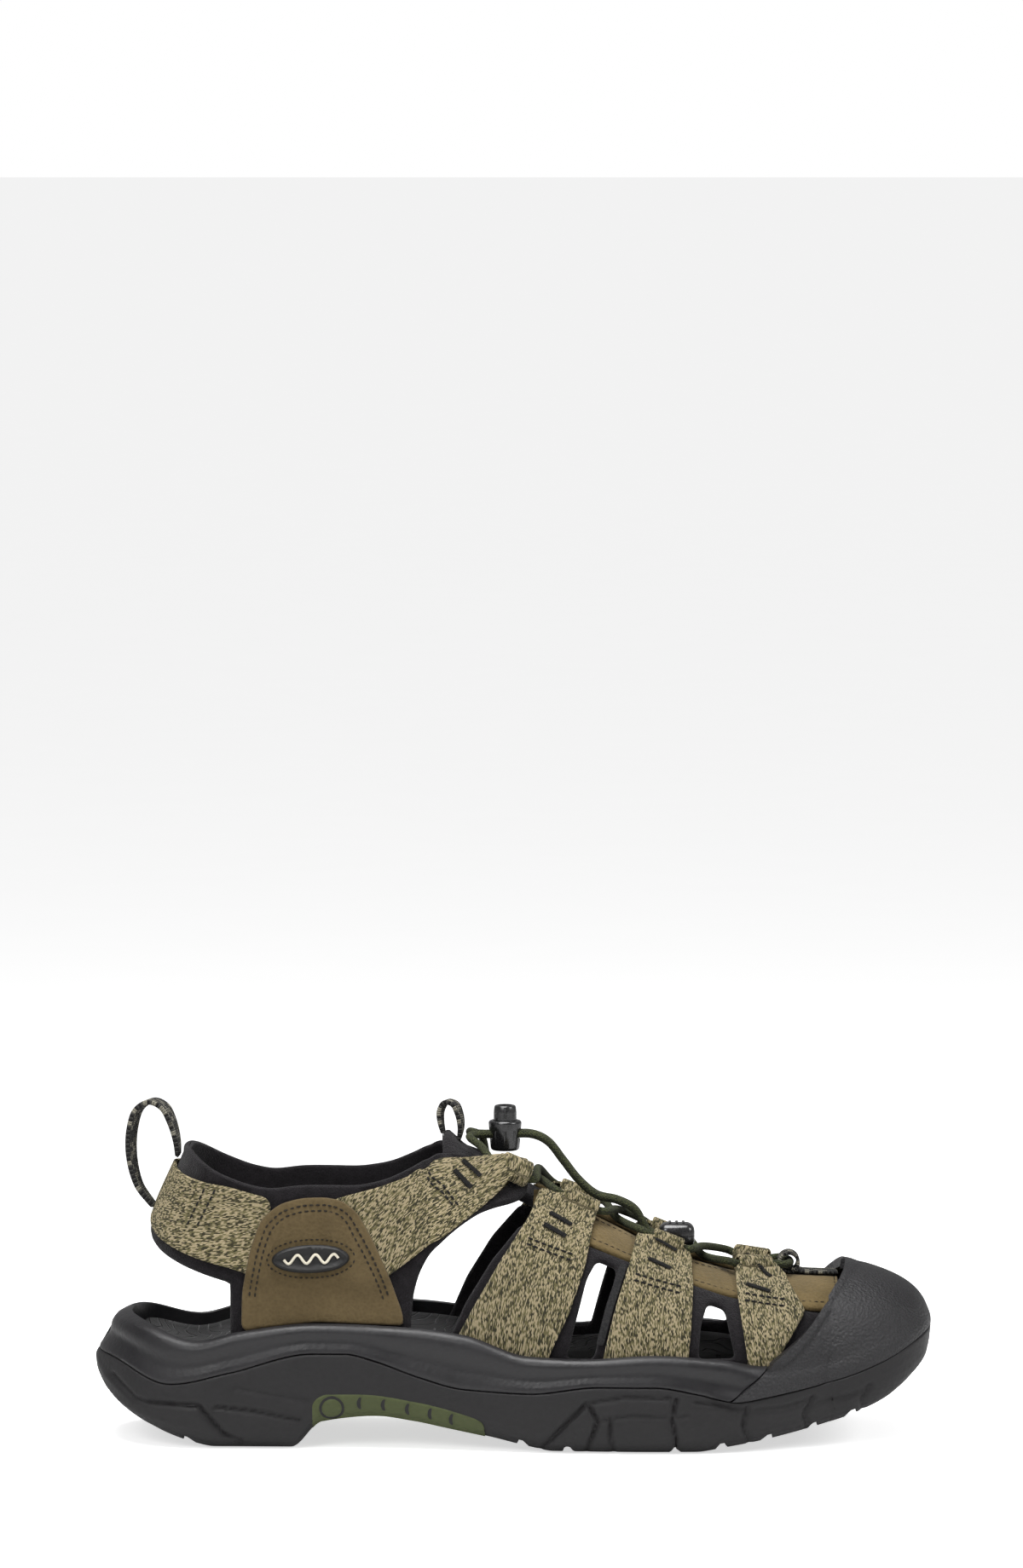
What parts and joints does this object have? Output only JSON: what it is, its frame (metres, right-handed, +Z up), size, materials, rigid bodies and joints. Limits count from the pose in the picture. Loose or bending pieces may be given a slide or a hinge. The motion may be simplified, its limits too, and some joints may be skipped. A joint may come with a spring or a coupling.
{
  "type": "strappy sport sandal",
  "caption": "Closed-toe sport sandal for the right foot with webbing straps, an elastic lace with a cord lock, a rubber toe bumper and a lugged outsole.",
  "frame": {"origin": "on the ground, in the middle of the heel's flat tread", "axes": "+X towards the toe, +Y towards the inner side of the foot, +Z up"},
  "size_m": [0.2994, 0.1077, 0.1203],
  "materials": {
    "rubber": "moulded rubber, fine leather grain",
    "green_rubber": "satin moulded",
    "foam": "moulded foam skin, satin",
    "board": "pressed fibre board",
    "footbed_foam": "embossed foam",
    "neoprene": "knit-faced neoprene",
    "nubuck": "matt nubuck",
    "webbing": "heather woven polyester",
    "loop_webbing": "narrow woven tape",
    "woven_tag": "woven tape",
    "badge_rubber": "satin moulded",
    "elastic_cord": "braided elastic",
    "lock_plastic": "glossy moulded",
    "spring_steel": "drawn wire"
  },
  "bodies": {
    "root": {"outsole": "rubber", "toe_bumper": "rubber", "arch_insert": "green_rubber", "midsole": "foam", "insole_board": "board", "footbed": "footbed_foam", "collar_lining": "neoprene", "throat_panel": "nubuck", "tongue": "neoprene", "heel_strap": "webbing", "side_lining_outer": "neoprene", "side_lining_inner": "neoprene", "ankle_strap_outer": "webbing", "ankle_strap_inner": "webbing", "midfoot_strap_outer": "webbing", "midfoot_strap_inner": "webbing", "instep_strap_outer": "webbing", "instep_strap_inner": "webbing", "toe_strap_outer": "webbing", "toe_strap_inner": "webbing", "side_patch_outer": "nubuck", "side_patch_inner": "nubuck", "badge_outer": "badge_rubber", "badge_inner": "badge_rubber", "side_tag": "woven_tag", "toe_loop": "loop_webbing", "lace": "elastic_cord", "cord_clip_base": "lock_plastic", "cord_clip_cap": "lock_plastic"},
    "cord_lock": {"lock_barrel": "lock_plastic", "lock_spring": "spring_steel"},
    "lock_button": {"lock_button": "lock_plastic"},
    "heel_pull": {"heel_loop": "loop_webbing"},
    "tongue_pull": {"tongue_loop": "loop_webbing"}
  },
  "joints": [
    {"name": "lock_slide", "type": "slide", "parent": "root", "child": "cord_lock", "axis": [1, 0, 0], "range_m": [0, 0.003]},
    {"name": "button_press", "type": "slide", "parent": "cord_lock", "child": "lock_button", "axis": [0, 0, -1], "range_m": [0, 0.0017], "stiffness_N_per_m": 900, "deforming": ["lock_spring"]},
    {"name": "heel_loop_swing", "type": "hinge", "parent": "root", "child": "heel_pull", "pos_m": [-0.0345, 0, 0.08], "axis": [0.3911, 0, 0.9203], "range_deg": [-35, 35], "stiffness_Nm_per_rad": 0.004},
    {"name": "tongue_loop_swing", "type": "hinge", "parent": "root", "child": "tongue_pull", "pos_m": [0.069, 0, 0.1105], "axis": [0.908, 0, -0.4191], "range_deg": [-35, 35], "stiffness_Nm_per_rad": 0.002}
  ]
}
